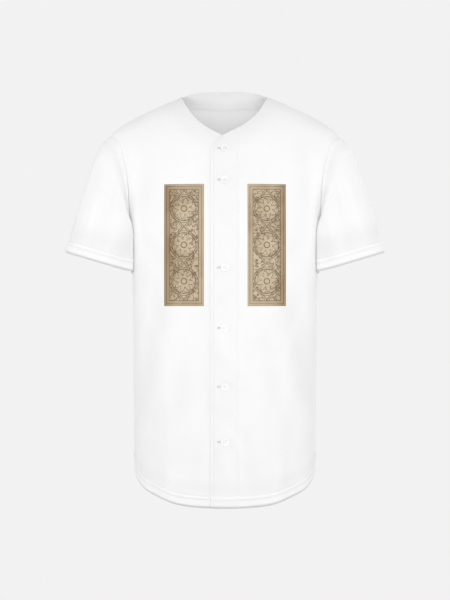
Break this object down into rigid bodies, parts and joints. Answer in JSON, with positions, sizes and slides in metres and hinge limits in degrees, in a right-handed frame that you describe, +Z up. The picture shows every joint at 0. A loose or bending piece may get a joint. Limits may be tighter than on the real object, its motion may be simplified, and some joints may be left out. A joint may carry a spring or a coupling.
{
  "type": "baseball jersey",
  "caption": "Short-sleeved baseball jersey with a V neck, a buttoned placket and a curved hem, filled out as if worn.",
  "frame": {"origin": "midway between the two neck points, where the shoulder seams meet the neckline, since the wearer's shoulders carry the jersey there", "axes": "+Z up along the wearer's height, -Y out of the buttoned front, +X towards the wearer's left"},
  "size_m": [0.5936, 0.2438, 0.7635],
  "materials": {
    "jersey_cloth": "matt white polyester knit",
    "button": "glossy white"
  },
  "bodies": {
    "root": {"front_left": "jersey_cloth", "front_right": "jersey_cloth", "placket": "jersey_cloth", "back": "jersey_cloth", "back_neck_facing": "jersey_cloth", "sleeve_left": "jersey_cloth", "sleeve_right": "jersey_cloth", "button_1": "button", "button_2": "button", "button_3": "button", "button_4": "button", "button_5": "button", "button_6": "button"}
  },
  "joints": []
}
